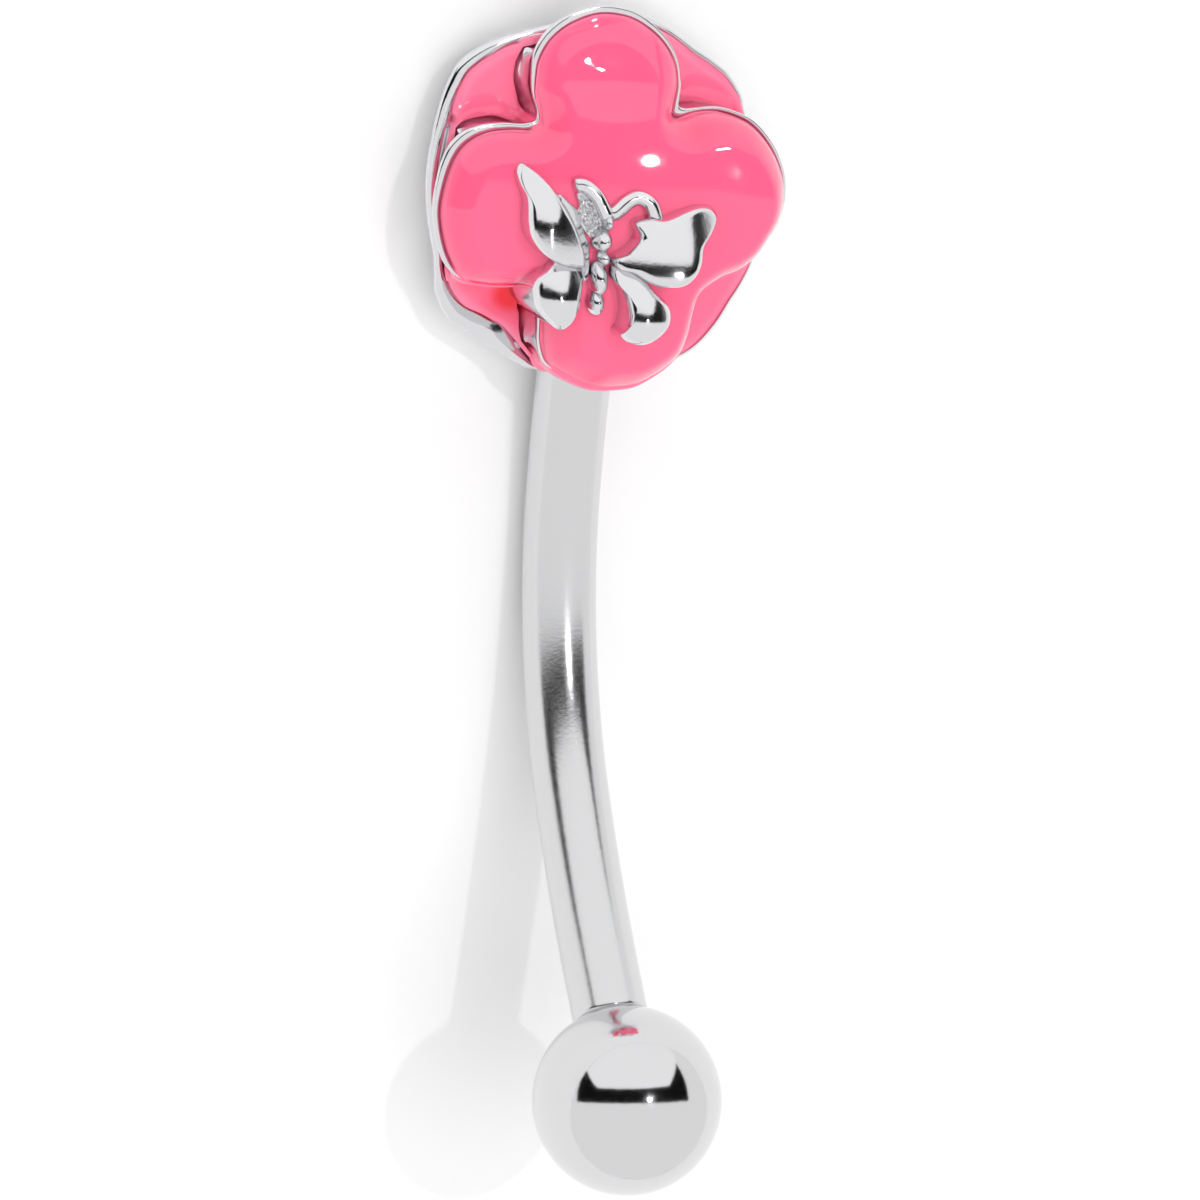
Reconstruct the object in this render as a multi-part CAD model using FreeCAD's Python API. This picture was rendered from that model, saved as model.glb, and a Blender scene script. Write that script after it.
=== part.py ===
import FreeCAD, Part
import math
import os

# Curved eyebrow barbell: a 16 gauge bent bar with a 3 mm screw-on ball at one end
# and a cast, enamelled flower with a raised butterfly at the other.
# Millimetres. The piece lies on its flower's flat back, so z = 0 is the table.
# While it is built, the flower's axis is x = y = 0 and the bar lies in the plane x = 0.

# Bar and ball
BAR_DIAMETER = 1.2
MIDDLE_RADIUS = 8.17
MIDDLE_HALF_ANGLE = 17.2
EASE_RADIUS = 18.7
BALL_EASE_ANGLE = 9.2
FLOWER_EASE_ANGLE = 5.4
REST_TILT = 15.0
LOWEST_POINT_Y = -5.26
BALL_DIAMETER = 3.0
BALL_PAST_EASE = 2.27
STUD_DIAMETER = 1.0
STUD_LENGTH = 2.0
STUD_CLEARANCE = 0.02
BORE_SPARE = 0.2
SEAT_GAP = 0.01
BAR_IN_FLOWER = 1.75
SOCKET_CLEARANCE = 0.012

# Flower casting
FRONT_EDGE_Z = 1.75
CROWN_HEIGHT = 0.9
CROWN_POWER = 2.6
CROWN_ROUNDING = 0.55
FRONT_RIM = 0.07
BACK_RIM_Z = 1.0
BACK_RIM = 0.10
FIELD_INNER_Z = 1.30
FIELD_OUTER_Z = 0.80
PETAL_OVERLAP = 0.16
WALL_DRAFT = 0.02
BACK_CHAMFER = 0.18
BACK_CHAMFER_Z = 0.3
WALL_LEAN = 0.04
FRONT_POWER = 2.5
BACK_POWER = 2.0
AZIMUTHS = 96

# Enamel
FRONT_ENAMEL = 0.22
EDGE_ENAMEL = 0.12
FIELD_ENAMEL = 0.17
FIELD_TOP_Z = 1.42
ENAMEL_GAP = 0.012
UNDER_GAP = 0.03
LEAST_POOL = 0.01
RECESS_STATIONS = (0, 0.5, 0.87, 1)
CROWN_STEPS = (0.3, 0.5, 0.66, 0.78, 0.87, 0.94)
FIELD_STEPS = 4
FIELD_LEAST_WIDTH = 0.14

# Azimuth in degrees from the right, anticlockwise, and the radius there
FRONT_TIPS = ((92, 3.05), (175, 2.95), (272, 3.03), (363, 2.97))
FRONT_NOTCHES = ((48.75, 1.85), (135, 1.88), (232.5, 2.05), (315, 2.25), (408.75, 1.85))
BACK_TIPS = ((40, 2.97), (138, 3.05), (219, 3.0), (313, 3.15))
BACK_VALLEYS = ((3, 2.80), (92, 2.80), (175, 2.76), (272, 2.85), (363, 2.80))
BACK_FIELD_NAMES = ("upper_right", "upper_left", "lower_left", "lower_right")

# Butterfly outlines, x and y on the flower, and how high each form is puffed
UPPER_LEFT_WING = (
    (-1.66, 0.72), (-1.44, 0.68), (-1.02, 0.34), (-0.76, -0.08), (-0.58, -0.60), (-0.55, -0.86),
    (-0.84, -0.82), (-1.30, -0.66), (-1.52, -0.42), (-1.60, -0.10), (-1.66, 0.16), (-1.74, 0.50),
)
UPPER_RIGHT_WING = (
    (-0.14, -0.72), (0.12, -0.48), (0.20, -0.16), (0.46, -0.10), (0.89, -0.01), (1.34, 0.09),
    (1.58, 0.00), (1.62, -0.20), (1.45, -0.52), (1.40, -0.90), (1.10, -1.15), (0.66, -1.13), (0.20, -0.95),
)
LOWER_LEFT_WING = (
    (-0.56, -0.84), (-0.92, -0.78), (-1.16, -0.89), (-1.36, -1.14), (-1.36, -1.42), (-1.18, -1.66),
    (-0.92, -1.80), (-0.72, -1.76), (-0.66, -1.48), (-0.60, -1.08),
)
LOWER_RIGHT_WING = (
    (-0.16, -0.84), (0.28, -1.02), (0.62, -1.30), (0.80, -1.58), (0.72, -1.86), (0.48, -2.02),
    (0.14, -2.02), (0.00, -1.86), (0.03, -1.48), (-0.08, -1.10),
)
BODY = (
    (-0.26, 0.04), (-0.15, -0.08), (-0.20, -0.30), (-0.12, -0.52), (-0.18, -0.80), (-0.20, -1.20),
    (-0.18, -1.50), (-0.30, -1.68), (-0.44, -1.52), (-0.46, -1.20), (-0.44, -0.80), (-0.46, -0.52),
    (-0.36, -0.30), (-0.38, -0.08),
)
LEFT_ANTENNA = ((-0.27, -0.02), (-0.34, 0.22), (-0.52, 0.38), (-0.71, 0.42), (-0.85, 0.38))
RIGHT_ANTENNA = ((-0.25, -0.02), (-0.02, 0.16), (0.18, 0.24), (0.36, 0.21), (0.47, 0.08), (0.46, -0.12))
WINGS = (UPPER_LEFT_WING, UPPER_RIGHT_WING, LOWER_LEFT_WING, LOWER_RIGHT_WING)
ANTENNAE = (LEFT_ANTENNA, RIGHT_ANTENNA)
ANTENNA_WIDTH = 0.14
ANTENNA_PUFF = 0.10
WING_PUFF = 0.34
BODY_PUFF = 0.42
RELIEF_EDGE = 0.07
RELIEF_DEPTH = 0.42
RELIEF_RINGS = ((0.80, 0.62), (0.45, 0.92))
CURVE_STEPS = 3
FOOTPRINT_GAP = 0.015
FOOTPRINT_TOP = 4.0

MESH_TOLERANCE = 0.00001
CUTTER_REACH = 1.0

BAR_RADIUS = BAR_DIAMETER / 2
BALL_RADIUS = BALL_DIAMETER / 2
SEAT_DISTANCE = math.sqrt(BALL_RADIUS ** 2 - BAR_RADIUS ** 2)


# Outlines

def scallop(azimuth, tips, valleys, power):
    """Radius of an outline of lobes: tip radius at each tip, valley radius between."""
    angle = azimuth % 360
    if angle < valleys[0][0]:
        angle += 360
    for valley, following, tip in zip(valleys, valleys[1:], tips):
        if valley[0] <= angle <= following[0]:
            side = following if angle >= tip[0] else valley
            share = (angle - tip[0]) / (side[0] - tip[0])
            return tip[1] - (tip[1] - side[1]) * share ** power
    raise ValueError("azimuth outside the table")


def front_radius(azimuth):
    return scallop(azimuth, FRONT_TIPS, FRONT_NOTCHES, FRONT_POWER)


def back_radius(azimuth):
    return scallop(azimuth, BACK_TIPS, BACK_VALLEYS, BACK_POWER)


def crown_z(share):
    """Height of the puffed front enamel at a share of the way out to its edge."""
    return FRONT_EDGE_Z + CROWN_HEIGHT * (1 - min(share, 1) ** CROWN_POWER) ** CROWN_ROUNDING


def surface_z(x, y):
    azimuth = math.degrees(math.atan2(y, x))
    return crown_z(math.hypot(x, y) / (front_radius(azimuth) - FRONT_RIM))


def field_span(azimuth):
    """Where a back petal's recess starts, at the front petals' wall, and ends, at its rim."""
    start = min(front_radius(azimuth) + WALL_DRAFT, back_radius(azimuth) - PETAL_OVERLAP)
    return start, back_radius(azimuth) - BACK_RIM


def around(azimuth, radius, z):
    angle = math.radians(azimuth)
    return FreeCAD.Vector(radius * math.cos(angle), radius * math.sin(angle), z)


# Closed solids from rings and grids of points

def faceted(points, triangles):
    shell = Part.Shape()
    shell.makeShapeFromMesh((points, triangles), MESH_TOLERANCE)
    return Part.makeSolid(shell)


def solid_from_rings(bottom, rings, top):
    """Rings of equal count, going up or inwards, closed by a point at each end."""
    count = len(rings[0])
    points = [bottom, top] + [point for ring in rings for point in ring]
    triangles = []

    def index(ring, place):
        return 2 + ring * count + place % count

    for place in range(count):
        triangles.append((0, index(0, place + 1), index(0, place)))
        triangles.append((1, index(len(rings) - 1, place), index(len(rings) - 1, place + 1)))
        for ring in range(len(rings) - 1):
            low, low_next = index(ring, place), index(ring, place + 1)
            high, high_next = index(ring + 1, place), index(ring + 1, place + 1)
            triangles.append((low, low_next, high_next))
            triangles.append((low, high_next, high))
    return faceted(points, triangles)


def solid_from_strips(strips):
    """Cross-sections of equal count, one after another, with both end sections closed."""
    count = len(strips[0])
    points = [point for strip in strips for point in strip]
    triangles = []
    for strip in range(len(strips) - 1):
        for place in range(count):
            here = strip * count + place
            beside = strip * count + (place + 1) % count
            triangles.append((here, beside, beside + count))
            triangles.append((here, beside + count, here + count))
    last = (len(strips) - 1) * count
    low, high = 0, count - 1
    while high - low > 1:
        corners = [(low, low + 1, high)]
        if high - low > 2:
            corners.append((low + 1, high - 1, high))
        for a, b, c in corners:
            triangles.append((a, c, b))
            triangles.append((last + a, last + b, last + c))
        low, high = low + 1, high - 1
    return faceted(points, triangles)


def rounded(outline):
    """A closed smooth curve through the outline's points, a few steps to each span."""
    result = []
    for index in range(len(outline)):
        before, start, end, after = (outline[(index + step) % len(outline)] for step in (-1, 0, 1, 2))
        for step in range(CURVE_STEPS):
            t = step / CURVE_STEPS
            result.append(tuple(
                0.5 * (2 * s + (e - b) * t + (2 * b - 5 * s + 4 * e - a) * t ** 2
                       + (3 * s - b - 3 * e + a) * t ** 3)
                for b, s, e, a in zip(before, start, end, after)))
    area = sum(p[0] * q[1] - q[0] * p[1] for p, q in zip(result, result[1:] + result[:1]))
    return result if area > 0 else result[::-1]


# Flower

def casting_rings():
    """From the back edge, up the wall, over the back petals and into the front recess."""
    profiles = []
    for step in range(AZIMUTHS):
        azimuth = 360 * step / AZIMUTHS
        front = front_radius(azimuth)
        back = back_radius(azimuth)
        field_start, field_end = field_span(azimuth)
        recess = front - FRONT_RIM
        profile = [(back - BACK_CHAMFER, 0), (back - WALL_LEAN, BACK_CHAMFER_Z), (back, BACK_RIM_Z)]
        profile.append((field_end, BACK_RIM_Z))
        for part in range(FIELD_STEPS):
            share = part / (FIELD_STEPS - 1)
            radius = field_end + (field_start - field_end) * share
            profile.append((radius, FIELD_OUTER_Z + (FIELD_INNER_Z - FIELD_OUTER_Z) * share))
        profile += [(front, FRONT_EDGE_Z), (recess, FRONT_EDGE_Z)]
        profile += [(recess * share, recess_floor(share)) for share in RECESS_STATIONS[:0:-1]]
        profiles.append([around(azimuth, radius, z) for radius, z in profile])
    return list(zip(*profiles))


def front_enamel():
    """The puffed enamel on the front petals, without what the butterfly stands through."""
    profiles = []
    for step in range(AZIMUTHS):
        azimuth = 360 * step / AZIMUTHS
        edge = front_radius(azimuth) - FRONT_RIM - ENAMEL_GAP
        profile = [(share, recess_floor(share) + UNDER_GAP) for share in CROWN_STEPS + (1,)]
        profile.append((1, FRONT_EDGE_Z))
        profile += [(share, crown_z(share)) for share in reversed(CROWN_STEPS)]
        profiles.append([around(azimuth, edge * share, z) for share, z in profile])
    bottom = FreeCAD.Vector(0, 0, recess_floor(0) + UNDER_GAP)
    whole = solid_from_rings(bottom, list(zip(*profiles)), FreeCAD.Vector(0, 0, crown_z(0)))
    pools = [pool for pool in whole.cut(footprints()).Solids if pool.Volume > LEAST_POOL]
    return Part.makeCompound(pools)


def recess_floor(share):
    """Height of the casting's recess: straight between its few rings."""
    heights = [crown_z(station) - FRONT_ENAMEL for station in RECESS_STATIONS[:-1]]
    heights.append(FRONT_EDGE_Z - EDGE_ENAMEL)
    for low, high, z_low, z_high in zip(RECESS_STATIONS, RECESS_STATIONS[1:], heights, heights[1:]):
        if share <= high:
            return z_low + (z_high - z_low) * (share - low) / (high - low)
    return heights[-1]


def field_enamel(notch):
    """The pool of enamel on one back petal, between the front petals' wall and its rim."""
    strips = []
    for step in range(2 * AZIMUTHS):
        azimuth = 360 * step / AZIMUTHS
        if abs(azimuth - notch) > 45:
            continue
        start, end = field_span(azimuth)
        if end - start < FIELD_LEAST_WIDTH:
            continue
        low = []
        for part in range(FIELD_STEPS):
            radius = start + ENAMEL_GAP * 2 + (end - start - ENAMEL_GAP * 4) * part / (FIELD_STEPS - 1)
            fall = (FIELD_OUTER_Z - FIELD_INNER_Z) * (radius - start) / (end - start)
            low.append((radius, FIELD_INNER_Z + fall + UNDER_GAP))
        high = [(radius, min(z + FIELD_ENAMEL, FIELD_TOP_Z)) for radius, z in reversed(low)]
        strips.append([around(azimuth, radius, z) for radius, z in low + high])
    return solid_from_strips([strip[::-1] for strip in strips])


# Butterfly

def relief(outline, puff):
    """A puffed form on the enamel's surface, with walls that go down into the casting."""
    edge = rounded(outline)
    cx = sum(point[0] for point in edge) / len(edge)
    cy = sum(point[1] for point in edge) / len(edge)
    rings = [[FreeCAD.Vector(x, y, surface_z(x, y) - RELIEF_DEPTH) for x, y in edge]]
    rings.append([FreeCAD.Vector(x, y, surface_z(x, y) + RELIEF_EDGE) for x, y in edge])
    for scale, share in RELIEF_RINGS:
        ring = []
        for x, y in edge:
            px, py = cx + (x - cx) * scale, cy + (y - cy) * scale
            ring.append(FreeCAD.Vector(px, py, surface_z(px, py) + puff * share))
        rings.append(ring)
    bottom = FreeCAD.Vector(cx, cy, surface_z(cx, cy) - RELIEF_DEPTH)
    return solid_from_rings(bottom, rings, FreeCAD.Vector(cx, cy, surface_z(cx, cy) + puff))


def antenna_outline(route, width=ANTENNA_WIDTH):
    """Both sides of a narrow ribbon along the route."""
    left, right = [], []
    for index, (x, y) in enumerate(route):
        back = route[max(index - 1, 0)]
        ahead = route[min(index + 1, len(route) - 1)]
        dx, dy = ahead[0] - back[0], ahead[1] - back[1]
        reach = width / 2 / math.hypot(dx, dy)
        left.append((x - dy * reach, y + dx * reach))
        right.append((x + dy * reach, y - dx * reach))
    return left, right


def antenna(route):
    left, right = antenna_outline(route)
    strips = []
    for (lx, ly), (x, y), (rx, ry) in zip(left, route, right):
        strips.append([
            FreeCAD.Vector(rx, ry, surface_z(rx, ry) - RELIEF_DEPTH),
            FreeCAD.Vector(rx, ry, surface_z(rx, ry) + RELIEF_EDGE),
            FreeCAD.Vector(x, y, surface_z(x, y) + RELIEF_EDGE + ANTENNA_PUFF),
            FreeCAD.Vector(lx, ly, surface_z(lx, ly) + RELIEF_EDGE),
            FreeCAD.Vector(lx, ly, surface_z(lx, ly) - RELIEF_DEPTH),
        ])
    return solid_from_strips(strips)


def butterfly():
    forms = [relief(wing, WING_PUFF) for wing in WINGS]
    forms.append(relief(BODY, BODY_PUFF))
    forms += [antenna(route) for route in ANTENNAE]
    return forms


def prism(outline):
    corners = [FreeCAD.Vector(x, y, 0) for x, y in outline]
    return Part.Face(Part.makePolygon(corners + corners[:1])).extrude(FreeCAD.Vector(0, 0, FOOTPRINT_TOP))


def footprints():
    """Straight-sided cutters that clear the enamel away around the butterfly."""
    cutters = []
    for outline in WINGS + (BODY,):
        edge = rounded(outline)
        grown = []
        for index, (x, y) in enumerate(edge):
            back, ahead = edge[index - 1], edge[(index + 1) % len(edge)]
            dx, dy = ahead[0] - back[0], ahead[1] - back[1]
            reach = FOOTPRINT_GAP / math.hypot(dx, dy)
            grown.append((x + dy * reach, y - dx * reach))
        cutters.append(prism(grown))
    for route in ANTENNAE:
        (x0, y0), (x1, y1) = route[-2:]
        reach = FOOTPRINT_GAP / math.hypot(x1 - x0, y1 - y0)
        longer = route + ((x1 + (x1 - x0) * reach, y1 + (y1 - y0) * reach),)
        left, right = antenna_outline(longer, ANTENNA_WIDTH + 2 * FOOTPRINT_GAP)
        cutters.append(prism(left + right[::-1]))
    return cutters


# Bar: arcs and straights in the plane x = 0

class Route:
    """Walks along the bar's centre line, making a round solid for each stretch."""

    def __init__(self, y, z, slope, way):
        self.y, self.z = y, z
        self.slope = math.radians(slope)
        self.way = way
        self.solids = []

    def disc(self, radius):
        centre = FreeCAD.Vector(0, self.y, self.z)
        along = FreeCAD.Vector(0, math.cos(self.slope), math.sin(self.slope))
        return Part.Face(Part.Wire(Part.makeCircle(radius, centre, along)))

    def along(self, distance):
        step = self.way * distance
        return FreeCAD.Vector(0, math.cos(self.slope) * step, math.sin(self.slope) * step)

    def bend(self, bend_radius, degrees):
        turn = self.way * math.radians(degrees)
        hub_y = self.y - bend_radius * math.sin(self.slope)
        hub_z = self.z + bend_radius * math.cos(self.slope)
        hub = FreeCAD.Vector(0, hub_y, hub_z)
        self.solids.append(self.disc(BAR_RADIUS).revolve(hub, FreeCAD.Vector(1, 0, 0), math.degrees(turn)))
        self.slope += turn
        self.y = hub_y + bend_radius * math.sin(self.slope)
        self.z = hub_z - bend_radius * math.cos(self.slope)

    def straight(self, distance, radius=BAR_RADIUS):
        self.solids.append(self.disc(radius).extrude(self.along(distance)))
        self.move(distance)

    def move(self, distance):
        step = self.along(distance)
        self.y += step.y
        self.z += step.z


def middle_start():
    """The middle of the bend, which is up the slope from the bar's lowest point."""
    slope = math.radians(-REST_TILT)
    y = LOWEST_POINT_Y + MIDDLE_RADIUS * math.sin(slope)
    z = BAR_RADIUS + MIDDLE_RADIUS * (1 - math.cos(slope))
    return y, z


def build_bar():
    y, z = middle_start()
    to_flower = Route(y, z, -REST_TILT, 1)
    to_flower.bend(MIDDLE_RADIUS, MIDDLE_HALF_ANGLE)
    to_flower.bend(EASE_RADIUS, FLOWER_EASE_ANGLE)
    socket = Route(to_flower.y, to_flower.z, math.degrees(to_flower.slope), 1)
    to_flower.straight(BAR_IN_FLOWER)

    to_ball = Route(y, z, -REST_TILT, -1)
    to_ball.bend(MIDDLE_RADIUS, MIDDLE_HALF_ANGLE)
    to_ball.bend(EASE_RADIUS, BALL_EASE_ANGLE)
    ball = Route(to_ball.y, to_ball.z, math.degrees(to_ball.slope), -1)
    ball.move(BALL_PAST_EASE)
    to_ball.straight(BALL_PAST_EASE - SEAT_DISTANCE - SEAT_GAP)
    to_ball.straight(STUD_LENGTH, STUD_DIAMETER / 2)

    bar = to_flower.solids[0]
    for solid in to_flower.solids[1:] + to_ball.solids:
        bar = bar.fuse(solid)
    return bar.removeSplitter(), socket, ball


def build_ball(ball):
    """A ball with a flat seat for the bar's shoulder and a blind bore for its stud."""
    centre = FreeCAD.Vector(0, ball.y, ball.z)
    towards_bar = ball.along(-1)
    solid = Part.makeSphere(BALL_RADIUS, centre)
    seat_centre = centre + towards_bar * SEAT_DISTANCE
    seat = Part.makeCylinder(BAR_RADIUS + STUD_CLEARANCE, CUTTER_REACH, seat_centre, towards_bar)
    bore_depth = STUD_LENGTH + BORE_SPARE
    bore_end = seat_centre - towards_bar * bore_depth
    bore_radius = STUD_DIAMETER / 2 + STUD_CLEARANCE
    bore = Part.makeCylinder(bore_radius, bore_depth + CUTTER_REACH, bore_end, towards_bar)
    return solid.cut(seat).cut(bore)


def build_flower(socket):
    """The casting with its butterfly, and a blind hole in its side for the bar."""
    middle = FreeCAD.Vector(0, 0, recess_floor(0))
    casting = solid_from_rings(FreeCAD.Vector(0, 0, 0), casting_rings(), middle)
    mouth = FreeCAD.Vector(0, socket.y, socket.z) - socket.along(CUTTER_REACH)
    depth = CUTTER_REACH + BAR_IN_FLOWER + SOCKET_CLEARANCE
    hole = Part.makeCylinder(BAR_RADIUS + SOCKET_CLEARANCE, depth, mouth, socket.along(1))
    return casting.cut(hole).fuse(butterfly())


def main():
    os.makedirs("parts", exist_ok=True)
    bar, socket, ball = build_bar()
    nodes = {
        "curved_bar": bar,
        "ball": build_ball(ball),
        "flower": build_flower(socket),
        "enamel_front": front_enamel(),
    }
    for name, (notch, _) in zip(BACK_FIELD_NAMES, FRONT_NOTCHES):
        nodes["enamel_" + name] = field_enamel(notch)
    box = Part.makeCompound(list(nodes.values())).optimalBoundingBox(False)
    shift = FreeCAD.Vector(-box.Center.x, -box.Center.y, 0)
    for name, shape in nodes.items():
        piece = shape.Solids[0] if len(shape.Solids) == 1 else Part.makeCompound(shape.Solids)
        piece.translate(shift)
        piece.exportStep("parts/" + name + ".step")
        print(name, len(piece.Solids), len(piece.Faces), round(piece.Volume, 3), piece.isValid())


main()
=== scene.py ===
"""A bent barbell with a screw-on ball and an enamelled flower that carries a butterfly."""

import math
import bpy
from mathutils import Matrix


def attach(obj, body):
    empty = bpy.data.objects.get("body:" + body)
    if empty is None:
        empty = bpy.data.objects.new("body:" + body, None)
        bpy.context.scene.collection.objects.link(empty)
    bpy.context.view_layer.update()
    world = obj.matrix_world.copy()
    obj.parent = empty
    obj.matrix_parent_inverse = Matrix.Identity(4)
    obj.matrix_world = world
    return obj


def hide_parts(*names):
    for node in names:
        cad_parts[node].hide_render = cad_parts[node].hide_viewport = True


bl_info = {
    "name": "Curved Barbell",
    "version": (1, 0, 0),
    "blender": (4, 5, 0),
    "location": "View3D > Sidebar > Barbell",
    "description": "Builds the bar, ball, cast flower, enamel and butterfly of a curved barbell",
    "category": "Object",
}

import bmesh
import bpy
import numpy as np
from mathutils import Matrix, Vector, noise

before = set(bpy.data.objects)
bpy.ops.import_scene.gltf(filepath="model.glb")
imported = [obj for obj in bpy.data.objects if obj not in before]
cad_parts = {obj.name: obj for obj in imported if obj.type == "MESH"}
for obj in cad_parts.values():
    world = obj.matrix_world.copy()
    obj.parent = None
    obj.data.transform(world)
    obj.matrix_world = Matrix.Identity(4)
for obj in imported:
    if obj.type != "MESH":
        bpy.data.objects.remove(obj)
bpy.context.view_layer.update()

MM = 0.001

# The flower's axis in plan, where the bar lies in the plane through it, in millimetres
AXIS_X = -0.01065
AXIS_Y = 6.08432

# Where the camera stands: the point aimed at, and the ways towards the camera, to the picture's right and up
AIM = (-0.01065, -1.29028, 0.87840)
TOWARDS_CAMERA = (-0.34202, 0.24321, 0.90767)
PICTURE_RIGHT = (0.93927, 0.05966, 0.33794)
PICTURE_UP = (0.02804, 0.96814, -0.24885)
CAMERA_DISTANCE = 105.0
LENS_MM = 195.45
# How far the point aimed at is from the middle of the picture, and the lens's length, in its pixels
AIM_OFFSET_PX = (40.7, 43.0)
FOCAL_PX = 6515.0

# Outlines of the front and the back petals: azimuth in degrees and radius in millimetres
FRONT_OUTLINE = (
    (2, 2.92), (8, 2.94), (14.6, 2.90), (22, 2.81), (29.3, 2.68), (35, 2.51), (41, 2.30), (46.5, 2.04),
    (50.4, 1.81), (53.5, 1.77), (56.2, 1.90), (60, 2.22), (66.4, 2.55), (76.8, 2.84), (86, 2.99),
    (93, 3.02), (102.7, 2.94), (110, 2.81), (118.2, 2.54), (122.3, 2.32), (126.4, 2.10), (129.8, 1.83),
    (133.5, 1.72), (138, 1.76), (145, 2.03), (150.6, 2.28), (156.3, 2.48), (162, 2.60), (174, 2.70),
    (185, 2.76), (195, 2.75), (203, 2.71), (208, 2.63), (213.3, 2.39), (220, 2.07), (226, 1.84),
    (233, 1.80), (240.3, 2.11), (245, 2.45), (250, 2.70), (259, 2.85), (270, 2.95), (279, 2.95),
    (288, 2.86), (297, 2.72), (304, 2.50), (311, 2.26), (318, 2.12), (326, 2.20), (334, 2.42),
    (341, 2.59), (348, 2.71), (355, 2.85),
)
BACK_OUTLINE = (
    (5, 2.84), (20, 2.84), (27, 2.88), (33, 2.95), (40, 2.96), (47, 2.91), (55, 2.86), (66, 2.90),
    (78, 2.92), (92, 2.84), (105, 2.78), (115, 2.83), (124, 2.92), (130, 2.98), (137, 3.02),
    (143, 2.96), (148, 2.90), (156, 2.80), (166, 2.72), (178, 2.68), (190, 2.66), (200, 2.68),
    (207, 2.78), (214, 2.93), (222, 2.99), (230, 2.92), (238, 2.88), (246, 2.91), (254, 2.95),
    (264, 2.90), (275, 2.86), (288, 2.94), (298, 3.10), (307, 3.15), (317, 3.10), (326, 3.04),
    (336, 3.04), (346, 2.96),
)
# The tables below are read round the flower too: azimuth in degrees, then the value
# How wide the back petals' metal rim is
BACK_RIM_WIDTH = (
    (30, 0.08), (45, 0.10), (60, 0.10), (90, 0.15), (121, 0.17), (131, 0.22), (138, 0.23), (148, 0.22),
    (155, 0.24), (175, 0.20), (205, 0.17), (212, 0.24), (220, 0.32), (228, 0.38), (236, 0.40),
    (243, 0.34), (250, 0.22), (256, 0.12), (272, 0.10), (300, 0.06), (320, 0.05), (335, 0.06),
    (350, 0.08),
)
# How far the front petals' metal rim stands out past their enamel
FRONT_LIP = (
    (20, 0.03), (46, 0.05), (50, 0.14), (57, 0.14), (61, 0.04), (90, 0.08), (105, 0.10), (118, 0.12),
    (130, 0.02), (141, 0.12), (152, 0.16), (165, 0.12), (180, 0.07), (200, 0.05), (207, 0.0),
    (232, 0.0), (240, 0.04), (246, 0.02), (253, 0.0), (342, 0.0), (352, 0.02),
)
# How far the enamel runs over the front edge and down onto the back petals, 0 to 1
ENAMEL_FLOW = (
    (20, 0.0), (60, 0.0), (90, 0.0), (130, 0.0), (132.5, 1.0), (136.5, 1.0), (139, 0.0), (160, 0.0),
    (200, 0.0), (207, 1.0), (232, 1.0), (237, 0.6), (240, 0.0), (247, 0.0), (253, 1.0), (290, 1.0),
    (320, 1.0), (342, 1.0), (352, 0.4), (360, 0.0),
)
# How far the back petals' enamel stays clear of the front petals' wall
WALL_GAP = (
    (30, 0.0), (47, 0.02), (51, 0.12), (56, 0.12), (61, 0.0), (100, 0.05), (113, 0.16), (129, 0.14),
    (132, 0.0), (138, 0.0), (145, 0.08), (155, 0.10), (180, 0.06), (200, 0.06), (206, 0.0), (235, 0.0),
    (239, 0.08), (246, 0.12), (251, 0.0), (345, 0.0), (355, 0.03),
)
# Bare hollows beside the front petals: azimuth, radius, reach and depth
HOLLOWS = ((54.0, 1.88, 0.11, 0.6), (153.5, 2.62, 0.06, 0.4), (206.0, 2.76, 0.05, 0.4))
# Where the enamel is deepest and painted darkest, as painted shade in the notch between the left and bottom
# petals: on the flower and in millimetres from its axis
POOL_AND_SHADE_CENTRE = (-1.30, -1.62)


def between(t, start, leaving, end, arriving):
    """The point a share of the way along a smooth curve with these ends and tangents."""
    return (
        start * (1 + 2 * t) * (1 - t) ** 2 + leaving * t * (1 - t) ** 2
        + end * t * t * (3 - 2 * t) + arriving * t * t * (t - 1)
    )


def lookup(table, degrees):
    """Smooth closed curve through a table of azimuth and value, without overshoot."""
    azimuth, value = np.array(sorted(table), float).T
    azimuth = np.concatenate([azimuth[-3:] - 360, azimuth, azimuth[:3] + 360])
    value = np.concatenate([value[-3:], value, value[:3]])
    span = np.diff(azimuth)
    steep = np.diff(value) / span
    before, after = 2 * span[1:] + span[:-1], span[1:] + 2 * span[:-1]
    with np.errstate(divide="ignore", invalid="ignore"):
        mean = (before + after) / (before / steep[:-1] + after / steep[1:])
    slope = np.zeros_like(value)
    slope[1:-1] = np.where(steep[:-1] * steep[1:] > 0, mean, 0)
    turned = np.mod(degrees, 360)
    k = np.clip(np.searchsorted(azimuth, turned) - 1, 0, len(span) - 1)
    share = (turned - azimuth[k]) / span[k]
    return between(share, value[k], slope[k] * span[k], value[k + 1], slope[k + 1] * span[k])


def ease(t):
    """From 0 to 1 with a soft start and end."""
    t = np.clip(t, 0, 1)
    return t * t * (3 - 2 * t)


# Meshes

def on_axis(height):
    """The point at a height on the flower's axis."""
    return Vector((AXIS_X, AXIS_Y, height)) * MM


def add_object(name, data):
    """A new object at the origin, linked to the scene."""
    obj = bpy.data.objects.new(name, data)
    bpy.context.scene.collection.objects.link(obj)
    return obj


def finish_mesh(name, verts, faces):
    """A smooth shaded object, with its faces pointing outwards."""
    mesh = bpy.data.meshes.new(name)
    mesh.from_pydata([tuple(v) for v in verts], [], faces)
    bm = bmesh.new()
    bm.from_mesh(mesh)
    bmesh.ops.recalc_face_normals(bm, faces=bm.faces)
    bm.to_mesh(mesh)
    bm.free()
    mesh.shade_smooth()
    return add_object(name, mesh)


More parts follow.
